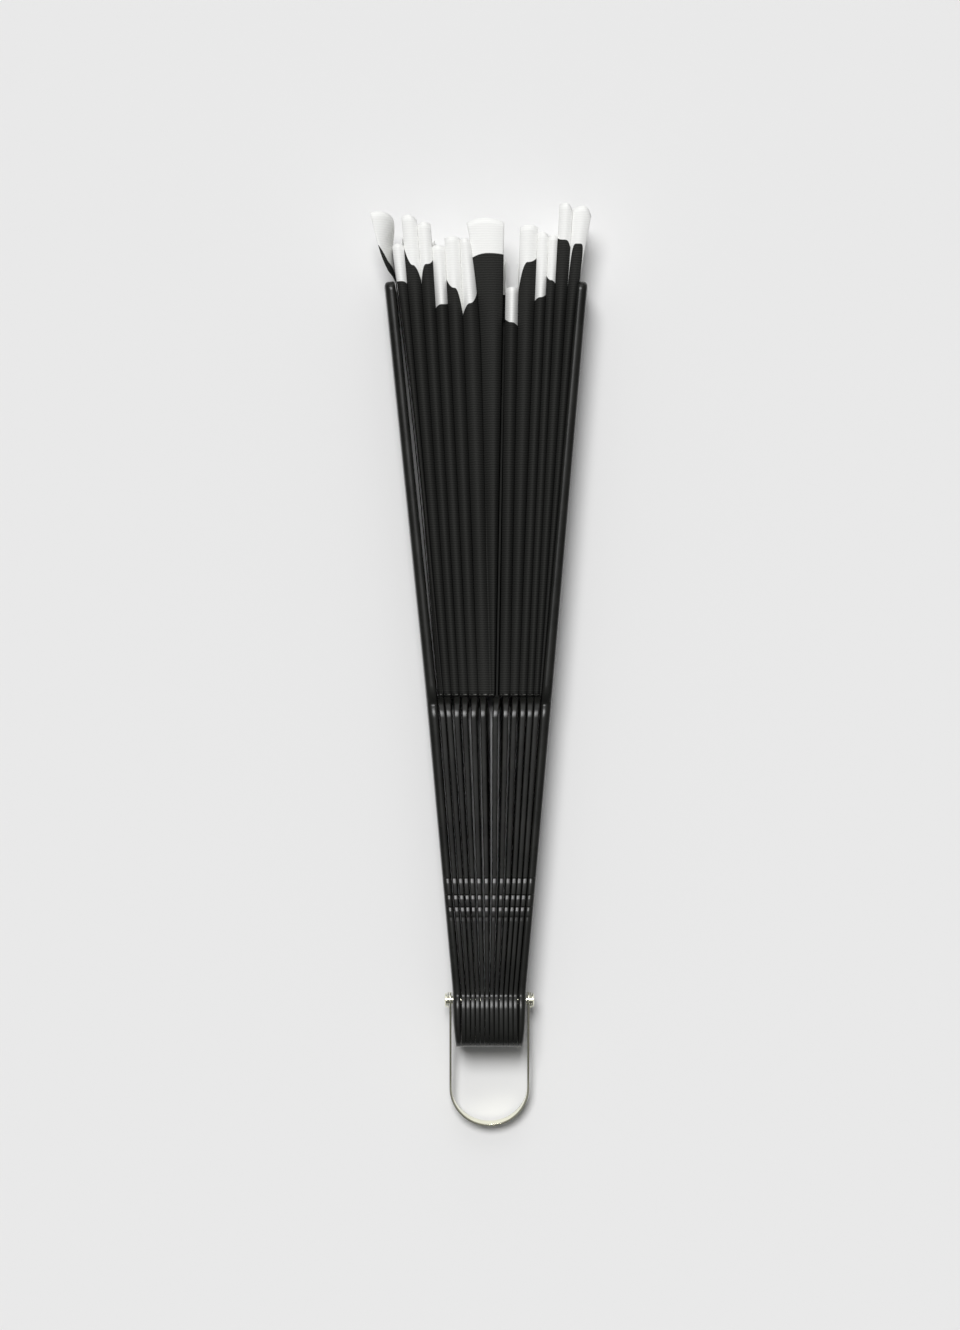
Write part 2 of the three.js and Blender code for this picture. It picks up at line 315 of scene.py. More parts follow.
def makeCloth():
    material, wire = newMaterial("ribbedCloth")
    look = clothLook
    flat = wire.node("ShaderNodeUVMap", {"uv_map": "flatCloth"})
    across = wire.node("ShaderNodeSeparateXYZ", None, {"Vector": flat}, output=0)
    along = wire.node("ShaderNodeSeparateXYZ", None, {"Vector": flat}, output=1)
    wander = wire.noise(flat, look["wanderScale"], 3.0)
    fuzz = wire.noise(flat, look["fuzzScale"], 2.0)
    ribTurn, threadTurn = (2 * math.pi / (look[pitch] * mm) for pitch in ("ribPitch", "threadPitch"))
    ribs = (along * ribTurn + (wander - 0.5) * look["ribWander"]).sine() * 0.5 + 0.5
    threads = (across * threadTurn + (wander - 0.5) * look["threadWander"]).sine() * 0.5 + 0.5
    ribShare, threadShare, fuzzShare = look["heightShares"]
    height = ribs * ribShare + threads * threadShare + fuzz * fuzzShare
    # the black cloth is painted lighter on the rib crests, a painted sheen, and is lighter at random with the
    # fuzz
    ribShare, fuzzShare = look["blackShares"]
    blackCloth = (ribs * ribShare + fuzz * fuzzShare).mixed(look["black"], look["blackSheenAndFuzz"])
    # the white cloth is painted darker in the rib troughs, a painted shade, and is darker at random with the
    # fuzz
    ribShare, fuzzShare = look["whiteShares"]
    whiteCloth = (ribs * ribShare + fuzz * fuzzShare).mixed(look["whiteShade"], look["white"])
    # the leaf's lower edge is cut, and shows pale ends of thread here and there
    tufts = ((wire.noise(flat, look["tuftScale"], 2.0) - 0.5) * look["tuftContrast"]).clamped()
    lowEdge = ((look["frayEnd"] * mm - along) * (1 / (look["frayBlur"] * mm))).clamped()
    blackCloth = (lowEdge * tufts).mixed(blackCloth, look["frayed"])
    # the border's edge wavers with the fuzz and is a little soft
    border = wire.node("ShaderNodeAttribute", {"attribute_name": "aboveBorder"}, output=2)
    blur = look["edgeBlur"] * mm
    inBorder = ((border + (fuzz - 0.5) * blur) * (1 / blur) + 0.5).clamped()
    finishMaterial(wire, {"Base Color": inBorder.mixed(blackCloth, whiteCloth),
                          "Roughness": look["roughness"] + fuzz * look["roughnessSpread"],
                          "Normal": wire.bump(height, look["ribDepth"])},
                   {"Specular IOR Level": look["specular"]})
    return material


metalLook = {
    "colour": (0.94, 0.93, 0.77, 1),
    "dullColour": (0.84, 0.83, 0.67, 1),
    "cloudScale": 420.0,
    "cloudStart": 0.3,
    "cloudContrast": 1.8,
    "roughness": 0.14,
    "roughnessSpread": 0.05,
    "scratchSize": 0.35,
    "scratchStretch": 0.08,
    "scratchDepth": 0.004,
    "scratchRoughness": 0.1,
}


def makeMetal():
    material, wire = newMaterial("paleBrass")
    look = metalLook
    place = wire.node("ShaderNodeTexCoord", output=3)  # Object
    clouds = wire.noise(place, look["cloudScale"], 4.0)
    scratches = wire.noise(wire.stretched(place, (1, look["scratchStretch"], 1)),
                           1 / (look["scratchSize"] * mm), 4.0)
    roughness = look["roughness"] + (clouds - 0.5) * (2 * look["roughnessSpread"])
    roughness = roughness + (scratches - 0.5) * look["scratchRoughness"]
    bright = ((clouds - look["cloudStart"]) * look["cloudContrast"]).clamped()
    finishMaterial(wire, {"Base Color": bright.mixed(look["dullColour"], look["colour"]),
                          "Roughness": roughness.clamped(),
                          "Normal": wire.bump(scratches, look["scratchDepth"])},
                   {"Metallic": 1.0})
    return material


plastic = makePlastic("satinBlackPlastic", plasticLook)
mattPlastic = makePlastic("mattBlackPlastic", {**plasticLook, "roughness": plasticLook["slipRoughness"]})
cloth = makeCloth()
metal = makeMetal()
print("fan: materials made")


# Sticks

# A notch's fall is given as (share of its length, share of its depth).
# Its step up is given as (mm past its end, share of its depth).
stick = {
    "headHalfWidth": 10.5,
    "headHalfLength": 11.9,
    "headCentre": -1.8,
    "headSquareness": 5.0,
    "headSteps": 16,
    "headFirstTurn": 5,  # degrees
    "archEnd": 1.4,
    "archSlope": 0.09,
    "archCurve": 0.055,
    "neckHalfWidth": 9.3,
    "neckStep": ((0.3, 0.5), (0.6, 0.2)),
    "neckStart": 2.4,
    "neckRows": (0, 0.3, 3),
    "neckEnd": 10.0,
    "gorgeLowHalfWidth": 9.6,
    "gorgeHighHalfWidth": 10.0,
    "shoulderReach": 90.0,
    "bendReach": 3.0,
    "notchEnds": (25.7, 28.7, 32.3, 37.3),
    "notchLengths": (1.2, 1.2, 1.2, 1.4),
    "notchDepths": (0.12, 0.29, 0.32, 0.36),
    "notchFall": ((0, 0), (0.1, 0.05), (0.9, 0.95), (1, 1)),
    "notchStep": ((0.15, 0.8), (0.35, 0), (0.6, 0)),
    "roundSteps": 7,
    "roundLead": 0.3,
    "edgeSegments": 5,
    "holeRadius": 1.6,
    "holeSides": 32,
    "drillLength": 80,
    "smoothAngle": 32,
}


def headRows():
    s, rows = stick, []
    firstTurn, power = math.radians(s["headFirstTurn"]), s["headSquareness"]
    for i in range(s["headSteps"]):
        turn = firstTurn + (math.pi / 2 - firstTurn) * i / s["headSteps"]
        share = math.cos(turn) ** (2 / power)
        rows.append((s["headCentre"] - s["headHalfLength"] * share,
                     s["headHalfWidth"] * (1 - share ** power) ** (1 / power)))
    # above its middle the head slopes towards the tips, ever more, and steps down to the neck
    archLength = s["archEnd"] - s["headCentre"]
    for share in (0, 0.25, 0.5, 0.75, 1):
        along = archLength * share
        drop = s["archSlope"] * along + s["archCurve"] * along ** 2
        rows.append((s["headCentre"] + along, s["headHalfWidth"] - drop))
    step = rows[-1][1] - s["neckHalfWidth"]
    rows += [(s["archEnd"] + past, s["neckHalfWidth"] + share * step) for past, share in s["neckStep"]]
    rows += [(s["neckStart"] + past, s["neckHalfWidth"]) for past in s["neckRows"]]
    rows.append((s["neckEnd"], s["gorgeLowHalfWidth"]))
    return rows


def gorgeShare(y):
    return (y - stick["neckEnd"]) / (stick["shoulderReach"] - stick["neckEnd"])


def gorgeHalfWidth(y):
    low, high = stick["gorgeLowHalfWidth"], stick["gorgeHighHalfWidth"]
    return low + gorgeShare(y) * (high - low)


# A notch falls slowly towards the tips and ends in a short step up
def notchRows():
    rows = []
    for end, length, depth in zip(stick["notchEnds"], stick["notchLengths"], stick["notchDepths"]):
        for share, dip in stick["notchFall"]:
            y = end - length * (1 - share)
            rows.append((y, gorgeHalfWidth(y) - depth * dip))
        for past, dip in stick["notchStep"]:
            rows.append((end + past, gorgeHalfWidth(end) - depth * dip))
    return rows


def roundedEnd(reach, halfWidth, radius):
    rows = []
    for i in range(stick["roundSteps"] + 1):
        turn = math.pi / 2 * i / stick["roundSteps"]
        rows.append((reach - radius + radius * math.sin(turn), halfWidth - radius * (1 - math.cos(turn))))
    return rows


# Makes a straight bar, rounds its long edges and cuts it at each row, and also at each height in strips.
# A row is (distance from the rivet, half-width, thickness).
def shapeBar(name, rows, thickness, halfWidth, middleX, rounds, strips=()):
    clearSelection()
    first, last = rows[0][0], rows[-1][0]
    bpy.ops.mesh.primitive_cube_add(size=1, location=(middleX, (first + last) / 2, 0))
    bar = bpy.context.object
    bar.name = name
    bar.scale = (thickness, last - first, 2 * halfWidth)
    bpy.ops.object.transform_apply(location=True, rotation=True, scale=True)
    bpy.ops.object.mode_set(mode="EDIT")
    for side, width in zip((-1, 1), rounds):
        corner = middleX + side * thickness / 2
        selectEdges(bar, lambda edge: all(abs(v.co.x - corner) < sameCorner for v in edge.verts) and
                    abs(edge.verts[0].co.z - edge.verts[1].co.z) < sameCorner)
        bpy.ops.mesh.bevel(offset=width, segments=stick["edgeSegments"], profile=0.5, affect="EDGES",
                           clamp_overlap=False)
    for y, _, _ in rows[1:-1]:
        bpy.ops.mesh.select_all(action="SELECT")
        bpy.ops.mesh.bisect(plane_co=(0, y, 0), plane_no=(0, 1, 0))
    for z in strips:
        bpy.ops.mesh.select_all(action="SELECT")
        bpy.ops.mesh.bisect(plane_co=(0, 0, z), plane_no=(0, 0, 1))
    return bar


# Gives each row of the bar its own width and thickness, scaled about x 0
def sizeRows(bar, rows, thickness, halfWidth):
    for y, wide, thick in rows:
        selectVerts(bar, lambda co, y=y: abs(co.y - y) < sameRow)
        bpy.ops.transform.resize(value=(thick / thickness, 1, wide / halfWidth), center_override=(0, y, 0))


rib = {
    "nodeThickness": 1.1,
    "thickness": 1.36,
    "neckThickness": 1.22,
    "shoulderThickness": 1.78,
    "slipThickness": 0.6,
    "slipHalfWidth": 3.0,
    "slipReach": 205.0,
    "slipStart": 0.4,
    "slipTaper": 1.5,
    "mattStart": 0.2,
    "shoulderRound": 6.0,
    "shoulderEnd": 91.95,
    "edgeRound": 0.32,
}
# how far right of its straight line each rib bows, at the notches and below the shoulder
ribBows = (
    (0, 0.4), (0.15, 0.16), (-0.2, -0.4), (-0.18, -0.3), (-0.15, -0.5), (0.3, 0),
    (0.18, -0.45), (0.45, 0.05), (0.44, -0.2), (0.5, 0.16), (0.37, 0.15), (0.29, -0.15),
)
# how far right a rib's lower edge lies of its upper edge below the shoulder, because the ribs stand askew
ribLeans = (0, 0.1, 0.35, 0.35, 0.95, 1.4, 0, -0.9, -0.3, -0.5, -0.1, 0)
# where a rib is bent, and how much of its lean and of its bow below the shoulder it has there
bendReaches = (3, 36.6, 75, 86, 91.5, 95)
leanShares = (0, 0.45, 0.9, 1, 0.25, 0)
shoulderBowShare = 0.25


def ribRows():
    reach, curve = rib["shoulderEnd"], rib["shoulderRound"]
    wide = stick["gorgeHighHalfWidth"]
    rows = headRows() + notchRows() + [(reach - curve - stick["roundLead"], wide)]
    rows += roundedEnd(reach, wide, curve)
    rows = [(y, w, ribThickness(y)) for y, w in rows]
    slipEnd, half, taper = rib["slipReach"], rib["slipHalfWidth"], rib["slipTaper"]
    for y, w in ((reach + rib["slipStart"], half), (slipEnd - taper, half), (slipEnd, half - taper)):
        rows.append((y, w, rib["slipThickness"]))
    return rows


def ribThickness(y):
    reaches = (stick["archEnd"], stick["neckStart"], stick["neckEnd"], stick["shoulderReach"])
    values = (rib["thickness"], rib["neckThickness"], rib["neckThickness"], rib["shoulderThickness"])
    return float(np.interp(y, reaches, values))


def makeRibModel():
    rows = ribRows()
    thickness, halfWidth = rib["thickness"], stick["headHalfWidth"]
    bar = shapeBar("ribModel", rows, thickness, halfWidth, 0, (rib["edgeRound"], rib["edgeRound"]))
    sizeRows(bar, rows, thickness, halfWidth)
    drillRivetHole(bar)
    return bar


# A stick's sideways place is level up to the bend and then runs straight to where its node ends.
# A guard also bows to the left near its tip.
def splayLine(start, end, endReach, bow=0.0):
    slope = (end - start) / (endReach - stick["bendReach"])
    return start, slope, bow


def splayAt(line, y):
    start, slope, bow = line
    bowShare = np.clip((y - guard["bowStart"]) / guard["bowLength"], 0, guard["bowMost"])
    return start + slope * np.maximum(0, y - stick["bendReach"]) + bow * bowShare ** 2


def splay(piece, line, bows=(0, 0), lean=0):
    count = len(piece.data.vertices)
    co = np.empty(count * 3)
    piece.data.vertices.foreach_get("co", co)
    co = co.reshape(-1, 3)
    low, high = bows
    y, z = co[:, 1], co[:, 2]
    bow = np.interp(y, bendReaches, (0, low, high, high, high * shoulderBowShare, 0))
    half = stick["gorgeHighHalfWidth"]
    askew = np.interp(y, bendReaches, leanShares) * (half - z) / (2 * half)
    co[:, 0] += splayAt(line, y) + bow + lean * askew
    piece.data.vertices.foreach_set("co", co.ravel())
    piece.data.update()


def ribLine(number):
    low, high = fanBox(f"rib_{number:02d}")
    half, slipHalf = rib["nodeThickness"] / 2, rib["slipThickness"] / 2
    if low.x + high.x > 0:
        return splayLine(low.x + half, high.x - slipHalf, rib["slipReach"])
    return splayLine(high.x - half, low.x + slipHalf, rib["slipReach"])


# spreadMore and bows are for the left and the right guard.
# A groove's row is (mm past the shoulder, share of its depth).
# A row at the blade's start is (mm past the shoulder, how many mm narrower than the blade).
guard = {
    "thickness": 2.5,
    "bladeMore": 0.85,
    "halfWidth": 11.0,
    "crown": 0.35,
    "crownStart": 0.975,
    "headEase": 1.1,
    "tipEase": 1.2,
    "tipEaseLength": 1.7,
    "tipRound": 2.5,
    "grooveDepth": 0.8,
    "grooveRows": ((-4.5, 0), (-4.2, 0), (-3.4, 0.06), (-2.6, 0.21), (-1.9, 0.42), (-1.3, 0.66), (-0.8, 0.9),
                   (-0.5, 1), (0, 1), (0.6, 0.6)),
    "bladeRows": ((1.3, 0.85), (2.2, 0.4), (3.5, 0.1), (5, 0), (5.3, 0)),
    "spreadMore": (0.7, 0.85),
    "bows": (-1.45, -0.4),
    "bowStart": 145,
    "bowLength": 72,
    "bowMost": 1.1,
    "outerRound": 1.2,
    "innerRound": 0.65,
    "strips": (-9, -7, -5, -2.5, 0, 2.5, 5, 7, 9),
}
tipReach = fanBox("left_guard")[1].y


def guardRows():
    g, reach = guard, stick["shoulderReach"]
    wide, bladeWide = stick["gorgeHighHalfWidth"], g["halfWidth"]
    rows = headRows() + notchRows()
    # the groove starts like a rib's shoulder, and climbs up to the blade
    rows += [(reach + past, wide - g["grooveDepth"] * share) for past, share in g["grooveRows"]]
    rows += [(reach + past, bladeWide - less) for past, less in g["bladeRows"]]
    rows.append((tipReach - g["tipRound"] - stick["roundLead"], bladeWide))
    rows += roundedEnd(tipReach, bladeWide, g["tipRound"])
    return [(y, w, guardThickness(y)) for y, w in rows]


# A guard thins round the end of its head and at its tip
def guardThickness(y):
    g = guard
    headShare = min(0, y) / (stick["headHalfLength"] - stick["headCentre"])
    tipShare = max(0, min(1, (y - tipReach + g["tipEaseLength"]) / g["tipEaseLength"]))
    eased = g["headEase"] * headShare ** 2 + g["tipEase"] * (1 - math.sqrt(1 - tipShare ** 2))
    return g["thickness"] + thickerBy(y) - eased


# It grows thicker from its neck to its shoulder, on its inner side
def thickerBy(y):
    return guard["bladeMore"] * max(0, min(1, gorgeShare(y))) ** 2


# The model is the right guard, with its flat inner face at x 0 up to the neck
def makeGuardModel():
    g, rows = guard, guardRows()
    rounds = (g["innerRound"], g["outerRound"])
    bar = shapeBar("guardModel", rows, g["thickness"], g["halfWidth"], g["thickness"] / 2, rounds,
                   g["strips"])
    # the outer face is crowned: it falls away with the square of the distance from its middle line
    levels = {round(vert.co.z, 3) for vert in bmesh.from_edit_mesh(bar.data).verts}
    for z in sorted(levels):
        selectVerts(bar, lambda co, z=z: co.x > g["crownStart"] and abs(co.z - z) < sameRow)
        bpy.ops.transform.translate(value=(-g["crown"] * (z / g["halfWidth"]) ** 2, 0, 0))
    sizeRows(bar, rows, g["thickness"], g["halfWidth"])
    for y, _, _ in rows:
        selectVerts(bar, lambda co, y=y: abs(co.y - y) < sameRow)
        bpy.ops.transform.translate(value=(-thickerBy(y), 0, 0))
    drillRivetHole(bar)
    return bar


def guardLine(side):
    low, high = fanBox("right_guard" if side > 0 else "left_guard")
    start, outer = (low.x, high.x) if side > 0 else (high.x, low.x)
    more, bow = guard["spreadMore"][side > 0], guard["bows"][side > 0]
    return splayLine(start, outer - side * guard["thickness"] + more, tipReach - guard["tipRound"], bow)


def dress(piece, name, node, body, material):
    piece.name = name
    piece.data.name = name
    piece.data.materials.clear()
    piece.data.materials.append(material)
    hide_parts(node)
    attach(piece, body)


def makeSticks():
    model = makeRibModel()
    for number in range(1, ribCount + 1):
        node = f"rib_{number:02d}"
        piece = copyPiece(model, f"ribStick{number:02d}")
        splay(piece, ribLine(number), ribBows[number - 1], ribLeans[number - 1])
        smoothEdges(piece, stick["smoothAngle"])
        putInFrame(piece)
        dress(piece, piece.name, node, node, plastic)
        # the slip inside the leaf is rough, so that it doesn't shine between the folds
        piece.data.materials.append(mattPlastic)
        slipStart = rivetCentre.y + (rib["shoulderEnd"] + rib["mattStart"]) * mm
        for face in piece.data.polygons:
            face.material_index = int(face.center.y > slipStart)
    bpy.data.objects.remove(model)
    model = makeGuardModel()
    for side, node, name in ((-1, "left_guard", "leftGuardStick"), (1, "right_guard", "rightGuardStick")):
        piece = copyPiece(model, name)
        if side < 0:
            selectOnly(piece)
            bpy.ops.object.mode_set(mode="EDIT")
            bpy.ops.mesh.select_all(action="SELECT")
            bpy.ops.transform.mirror(constraint_axis=(True, False, False), center_override=(0, 0, 0))
            bpy.ops.mesh.normals_make_consistent(inside=False)
            leaveEditMode()
        splay(piece, guardLine(side))
        smoothEdges(piece, stick["smoothAngle"])
        putInFrame(piece)
        dress(piece, name, node, node, plastic)
    bpy.data.objects.remove(model)


makeSticks()
print("fan: sticks made")


# Rivet, washers and bail

# each step of a head is how far out it is and how wide, as shares of the head's thickness and radius
pin = {
    "radius": 1.3,
    "headRadius": 2.1,
    "headThickness": 0.65,
    "headSteps": ((0, 0.94), (0.08, 1), (0.38, 1), (0.62, 0.93), (0.82, 0.74), (0.95, 0.42), (1, 0.12)),
    "washerRadius": 2.4,
    "washerThickness": 0.35,
    "washerRim": 0.07,
    "sides": 40,
    "smoothAngle": 40,
}


def makeRivet():
    start = fanBox("rivet")[1].x - pin["headThickness"]
    clearSelection()
    bpy.ops.mesh.primitive_cylinder_add(vertices=pin["sides"], radius=pin["radius"], depth=2 * start,
                                        rotation=(0, math.pi / 2, 0))
    piece = bpy.context.object
    bpy.ops.object.transform_apply(location=True, rotation=True, scale=True)
    bpy.ops.object.mode_set(mode="EDIT")
    for side in (-1, 1):
        # the round face at this end
        selectFaces(piece, lambda face: side * face.normal.x > 0.99 and len(face.verts) > 4)
        reach, radius = 0.0, pin["radius"]
        for out, wide in pin["headSteps"]:
            bpy.ops.mesh.extrude_region_move()
            bpy.ops.transform.translate(value=(side * (out - reach) * pin["headThickness"], 0, 0))
            share = wide * pin["headRadius"] / radius
            bpy.ops.transform.resize(value=(1, share, share), center_override=(0, 0, 0))
            reach, radius = out, wide * pin["headRadius"]
    bpy.ops.mesh.select_all(action="SELECT")
    bpy.ops.mesh.normals_make_consistent(inside=False)
    smoothEdges(piece, pin["smoothAngle"])
    putInFrame(piece)
    dress(piece, "rivetPin", "rivet", "left_guard", metal)


def makeWasher(node, name):
    low, high = fanBox(node)
    clearSelection()
    bpy.ops.mesh.primitive_cylinder_add(vertices=pin["sides"], radius=pin["washerRadius"],
                                        depth=pin["washerThickness"], location=((low.x + high.x) / 2, 0, 0),
                                        rotation=(0, math.pi / 2, 0))
    piece = bpy.context.object
    bpy.ops.object.transform_apply(location=True, rotation=True, scale=True)
    drillRivetHole(piece)
    roundRims(piece, pin["washerRim"], segments=2)
    smoothEdges(piece, pin["smoothAngle"])
    putInFrame(piece)
    dress(piece, name, node, "left_guard", metal)


bail = {
    "thickness": 0.6,
    "width": 4.0,
    "length": 39.2,
    "drop": 7.0,
    "bendSteps": 36,
    "eyeRadius": 2.4,
    "eyeSteps": 14,
    "eyeFlat": 8,  # degrees
    "edgeRound": 0.13,
    "smoothAngle": 35,
}


def makeBail():
    outer = fanBox("bail")[1].x
    middle = outer - bail["thickness"] / 2
    leg = bail["length"] - outer
    clearSelection()
    bpy.ops.mesh.primitive_plane_add(size=1, location=(middle, 0, 0), rotation=(math.pi / 2, 0, 0))
    piece = bpy.context.object
    piece.scale = (bail["thickness"], bail["width"], 1)
    bpy.ops.object.transform_apply(location=True, rotation=True, scale=True)
    bpy.ops.object.mode_set(mode="EDIT")
    # the eye meets the strip where the strip's edge reaches the eye's circle
    joinTurn = math.asin(bail["width"] / 2 / bail["eyeRadius"])
    joinY = -bail["eyeRadius"] * math.cos(joinTurn)
    bpy.ops.mesh.select_all(action="SELECT")
    bpy.ops.transform.translate(value=(0, joinY, 0))
    bpy.ops.mesh.extrude_region_move()
    bpy.ops.transform.translate(value=(0, -leg - joinY, 0))
    bpy.ops.mesh.spin(steps=bail["bendSteps"], angle=math.pi, center=(0, -leg, 0), axis=(0, 0, 1))
    bpy.ops.mesh.extrude_region_move()
    bpy.ops.transform.translate(value=(0, leg + joinY, 0))
    lastTurn = math.pi - math.radians(bail["eyeFlat"])
    for side in (1, -1):
        selectFaces(piece, lambda face: side * face.calc_center_median().x > 0 and
                    abs(face.calc_center_median().y - joinY) < sameRow)
        wide, reach = bail["width"] / 2, joinY
        for i in range(1, bail["eyeSteps"] + 1):
            turn = joinTurn + (lastTurn - joinTurn) * i / bail["eyeSteps"]
            y, w = -bail["eyeRadius"] * math.cos(turn), bail["eyeRadius"] * math.sin(turn)
            bpy.ops.mesh.extrude_region_move()
            bpy.ops.transform.translate(value=(0, y - reach, 0))
            bpy.ops.transform.resize(value=(1, 1, w / wide), center_override=(0, y, 0))
            wide, reach = w, y
    bpy.ops.mesh.select_all(action="SELECT")
    bpy.ops.mesh.remove_doubles(threshold=sameCorner)
    bpy.ops.mesh.normals_make_consistent(inside=False)
    drillRivetHole(piece)
    roundRims(piece, bail["edgeRound"], segments=3)
    selectOnly(piece)
    bpy.ops.object.mode_set(mode="EDIT")
    bpy.ops.mesh.select_all(action="SELECT")
    droop = math.asin(bail["drop"] / bail["length"])
    # with no window the turn runs the other way round
    bpy.ops.transform.rotate(value=-droop, orient_axis="X", center_override=(0, 0, 0))
    smoothEdges(piece, bail["smoothAngle"])
    putInFrame(piece)
    dress(piece, "bailStrip", "bail", "bail", metal)


makeRivet()
makeWasher("washer_left", "leftWasher")
makeWasher("washer_right", "rightWasher")
makeBail()
print("fan: rivet, washers and bail made")


# The leaf: one sheet of cloth, pleated over the sticks and modelled fold by fold.
# A fold's lobe is the rounded ridge that the photograph shows.
# It lies on the fold's right stick, and its left side falls to the foot of the stick before.
# Only the cup, the wide fold in the middle, has it the other way round.

leaf = {
    "start": 92.0,
    "rise": 0.6,  # of the folds' middle above the rivet
    "halfSlope": math.tan(openAngle / foldCount / 4),  # half a fold's depth, per mm from the rivet
    "thickness": 0.18,
    "besideStick": 0.45,
    "flapRoom": 0.5,
    "valleyWidth": 0.2,
    "aboveSlip": 3.3,
    "slipRoom": 0.1,
    "bendRoom": 0.4,
    "loopHeight": 0.6,
    "lobeDepth": 0.85,
    "deepestLobe": 3.1,
    "lobePower": 1.9,
    "flatterStart": 205.0,
    "flatterLength": 20.0,
    "flatterBy": 0.6,
    "cupSlant": (0.35, 0.15),
    "cupPeak": 0.62,
    "flareStart": 195.0,
    "flareLength": 41.0,
    "flareMost": 1.2,
    "cupFlare": 3.6,
    "besideCupFlare": 3.4,
    "lastFlare": 2.5,
    "lastEdge": 0.2,
    "waveDepth": 0.3,
    "waveSteps": (7.3, 0.035, 0.8),
    "rows": 84,
    "columns": {"loop": 6, "rise": 13, "lobe": 23, "fall": 12},
    "risePower": 1.6,
}
cup = 7
tipEnd = 226.0  # how far out the values near the tips count
# the white border's lower edge above the guards' tips, at the left, middle and right of a lobe,
# and how square it is
borders = (
    (0, 0, -0.6, 2), (9.9, 4.8, 0.6, 2), (-0.6, 5.1, 6.3, 2.5), (-7.8, -6.9, -6.6, 2), (0.6, -2.0, -9.3, 2.2),
    (-9.9, -6.6, -3.3, 2), (7.2, 8.4, 8.1, 2), (-11.1, -12.3, -13.2, 2), (-2.2, 5.7, 6.9, 2.2),
    (-5.7, -4.8, -3.9, 2), (1.5, 0.3, -0.6, 2), (12.9, 12.4, 10.2, 3), (-1.5, 11.2, 1.0, 6),
)
# how far right of its stick the valley after a stick lies, at the leaf's start and near the tips
valleys = (
    (1.15, 0.3), (1.2, 0.2), (1.4, 1.2), (0.8, -0.2), (1.2, -0.1), (1.2, -0.8), (2.6, 0.6),
    (0.9, 0.3), (1.3, -0.3), (1.1, -0.1), (1.3, -0.3), (1.1, -0.9), (0.6, -0.5),
)
# how far a lobe's end drops at its left and right
endDrops = (
    (0.6, 0.6), (0.4, 1.5), (0.8, 0.6), (0.5, 0.5), (0.6, 0.6), (0.6, 0.6), (1.4, 1.2),
    (0.4, 0.4), (0.6, 0.6), (0.4, 1.0), (0.5, 0.5), (0.5, 2.4), (0.8, 3.0),
)


# the line of a guard's inner face beside the leaf, and set off from it by room
def guardFace(side, room=0.0):
    start, slope, bow = guardLine(side)
    return start - side * (guard["bladeMore"] + room), slope, bow


# the leaf leaves room for its end flap beside the left guard
stickLines = [guardFace(-1, leaf["flapRoom"]), *(ribLine(n) for n in range(1, foldCount)), guardFace(1)]
foldTops = [fanBox(f"leaf_fold_{number:02d}")[1].y for number in range(1, foldCount + 1)]
borderMiddles = [tipReach + (left + right) / 2 for left, _, right, _ in borders]


def smoothShare(share):
    share = np.clip(share, 0, 1)
    return share * share * (3 - 2 * share)


def alongLeaf(y, near, far):
    return near + (far - near) * (y - leaf["start"]) / (tipEnd - leaf["start"])


def flare(y):
    return np.clip((y - leaf["flareStart"]) / leaf["flareLength"], 0, leaf["flareMost"]) ** 2


# The straight lines of a fold's falling side: its upper and its lower edge, at distances y.
# Like all that follows, they count x leftwards, because a fold lies to the left of its own stick.
# Only the cup lies to the right of its stick and counts x rightwards.
def fallingSide(fold, y):
    if fold == cup:
        foot = splayAt(stickLines[fold], y) - leaf["besideStick"]
        return foot - alongLeaf(y, *leaf["cupSlant"]), foot
    stickX = splayAt(stickLines[fold - 1], y)
    return -(stickX + alongLeaf(y, *valleys[fold - 1])), -(stickX + leaf["besideStick"])


# A fold's own stick, and the free edge of its lobe above that stick
def risingSide(fold, y):
    if fold == cup:
        stickX = splayAt(stickLines[fold - 1], y)
        edge = stickX + alongLeaf(y, *valleys[fold - 1]) + leaf["valleyWidth"] / 2
        return stickX, edge - leaf["cupFlare"] * flare(y)
    stickX = splayAt(stickLines[fold], y)
    if fold == foldCount:
        return -stickX, -stickX + leaf["lastEdge"] - leaf["lastFlare"] * flare(y)
    edge = stickX + alongLeaf(y, *valleys[fold]) - leaf["valleyWidth"]
    if fold + 1 == cup:
        edge = edge - leaf["besideCupFlare"] * flare(y)
    return -stickX, -edge


# A fold's columns run from the foot of its own stick up, over the lobe and down the falling side.
# A loop goes round the foot of a stick, and of the two folds that share the stick one has it.
def foldColumns(fold):
    shares = {kind: np.linspace(0, 1, count) for kind, count in leaf["columns"].items()}
    columns = []
    if fold not in (cup, foldCount):
        columns += [("loop", t) for t in shares["loop"][:-1]]
    columns += [("rise", 1 - (1 - t) ** leaf["risePower"]) for t in shares["rise"][:-1]]
    columns += [("lobe", t) for t in shares["lobe"][:-1]]
    columns += [("fall", t) for t in shares["fall"]]
    if fold == cup:
        columns += [("endLoop", t) for t in shares["loop"][1:]]
    return columns


